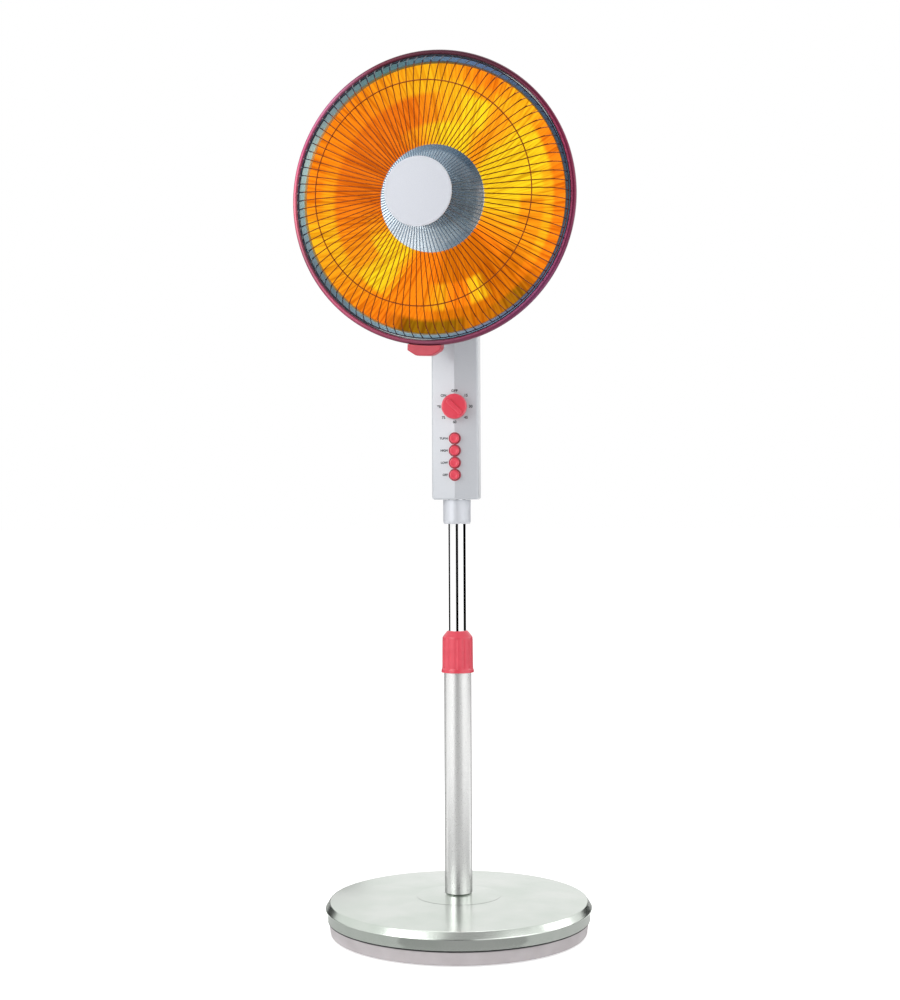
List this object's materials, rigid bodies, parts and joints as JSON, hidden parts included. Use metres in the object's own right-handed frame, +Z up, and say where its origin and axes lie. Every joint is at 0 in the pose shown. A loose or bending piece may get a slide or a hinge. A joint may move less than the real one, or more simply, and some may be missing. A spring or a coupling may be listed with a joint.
{
  "type": "pedestal bowl heater",
  "caption": "Standing electric heater with a round dish head that turns and tilts, a control housing, a post that adjusts in height and a weighted round base.",
  "frame": {"origin": "on the floor under the post's axis, at the centre of the hub cover's underside", "axes": "+Z up along the post, -Y towards the viewer of the controls, +X to that viewer's right"},
  "size_m": [0.3789, 0.3649, 1.1416],
  "materials": {
    "black_plastic": "black moulded plastic",
    "rubber_foot": "black rubber pads",
    "tray_plastic": "pale pinkish grey moulded plastic",
    "cast_weight": "raw cast iron",
    "polished_steel": "polished pale steel with a faint green cast",
    "pale_paint": "glossy silver-white paint",
    "plain_steel": "zinc-plated steel",
    "nylon": "natural nylon",
    "coral_plastic": "satin coral red plastic",
    "chrome_tube": "bright chrome plate",
    "housing_plastic": "satin silver-white plastic",
    "ring_plastic": "glossy raspberry plastic",
    "rear_paint": "silver-white paint on pressed steel",
    "gold_reflector": "polished reflector glowing amber",
    "chrome_wire": "chromed wire",
    "cap_plastic": "pale silver satin",
    "ceramic": "unglazed white ceramic",
    "heating_wire": "hot resistance wire",
    "shield_steel": "blue-grey polished steel"
  },
  "bodies": {
    "stand": {"hub_cover": "black_plastic", "foot_pad_1": "rubber_foot", "foot_pad_2": "rubber_foot", "foot_pad_3": "rubber_foot", "foot_pad_4": "rubber_foot", "base_tray": "tray_plastic", "base_ballast": "cast_weight", "base_seam_ring": "black_plastic", "base_cover": "polished_steel", "post_flange": "polished_steel", "outer_tube": "pale_paint", "tube_plug": "cast_weight", "post_bolt": "plain_steel", "post_nut": "plain_steel", "clamp_bush": "nylon"},
    "collar": {"clamp_collar": "coral_plastic"},
    "mast": {"inner_tube": "chrome_tube", "guide_bush": "nylon", "post_socket": "pale_paint", "housing_front": "housing_plastic", "housing_rear": "housing_plastic", "housing_screw_1": "plain_steel", "housing_screw_2": "plain_steel", "housing_screw_3": "plain_steel", "housing_screw_4": "plain_steel", "cord_gland": "black_plastic", "timer_unit": "nylon", "switch_block": "black_plastic", "terminal_block": "nylon", "tip_switch": "black_plastic", "turn_motor": "plain_steel", "neck_bearing": "nylon"},
    "timer_knob": {"timer_knob": "coral_plastic"},
    "button_1": {"button_1": "coral_plastic"},
    "button_2": {"button_2": "coral_plastic"},
    "button_3": {"button_3": "coral_plastic"},
    "button_4": {"button_4": "coral_plastic"},
    "crank": {"turn_crank": "nylon"},
    "neck": {"turn_lever": "plain_steel", "neck_shaft": "plain_steel", "neck_yoke": "housing_plastic", "tilt_bolt": "plain_steel", "tilt_nut": "plain_steel"},
    "head": {"tilt_lug": "housing_plastic", "head_ring": "ring_plastic", "rear_housing": "rear_paint", "reflector": "gold_reflector", "front_grille": "chrome_wire", "cap_plate": "plain_steel", "grille_cap": "cap_plastic", "element_core": "ceramic", "element_holder": "ceramic", "heating_coil": "heating_wire", "core_shield": "shield_steel", "shield_screw": "plain_steel", "thermal_cutout": "black_plastic", "chin_clip": "coral_plastic"}
  },
  "joints": [
    {"name": "collar_turn", "type": "hinge", "parent": "stand", "child": "collar", "pos_m": [0, 0, 0.37], "axis": [0, 0, 1], "range_deg": [0, 120]},
    {"name": "mast_height", "type": "slide", "parent": "stand", "child": "mast", "axis": [0, 0, 1], "range_m": [-0.13, 0.095]},
    {"name": "timer_turn", "type": "hinge", "parent": "mast", "child": "timer_knob", "pos_m": [0, -0.03, 0.698], "axis": [0, 1, 0], "range_deg": [0, 315]},
    {"name": "button_1_press", "type": "slide", "parent": "mast", "child": "button_1", "axis": [0, 1, 0], "range_m": [0, 0.0035], "stiffness_N_per_m": 300, "springref_m": -0.001},
    {"name": "button_2_press", "type": "slide", "parent": "mast", "child": "button_2", "axis": [0, 1, 0], "range_m": [0, 0.0035], "stiffness_N_per_m": 300, "springref_m": -0.001},
    {"name": "button_3_press", "type": "slide", "parent": "mast", "child": "button_3", "axis": [0, 1, 0], "range_m": [0, 0.0035], "stiffness_N_per_m": 300, "springref_m": -0.001},
    {"name": "button_4_press", "type": "slide", "parent": "mast", "child": "button_4", "axis": [0, 1, 0], "range_m": [0, 0.0035], "stiffness_N_per_m": 300, "springref_m": -0.001},
    {"name": "head_turn", "type": "hinge", "parent": "mast", "child": "neck", "pos_m": [0, 0, 0.87], "axis": [0, 0, 1], "range_deg": [-31, 49]},
    {"name": "crank_turn", "type": "hinge", "parent": "mast", "child": "crank", "pos_m": [0.011, 0, 0.815], "axis": [0, 0, 1], "range_deg": [-69.8, 110.3]},
    {"name": "head_tilt", "type": "hinge", "parent": "neck", "child": "head", "pos_m": [0, 0, 0.8936], "axis": [0.9877, -0.1564, 0], "range_deg": [-22, 13]}
  ],
  "couplings": [
    {"joint": "crank_turn", "follows": "head_turn", "ratio": 2.25}
  ]
}
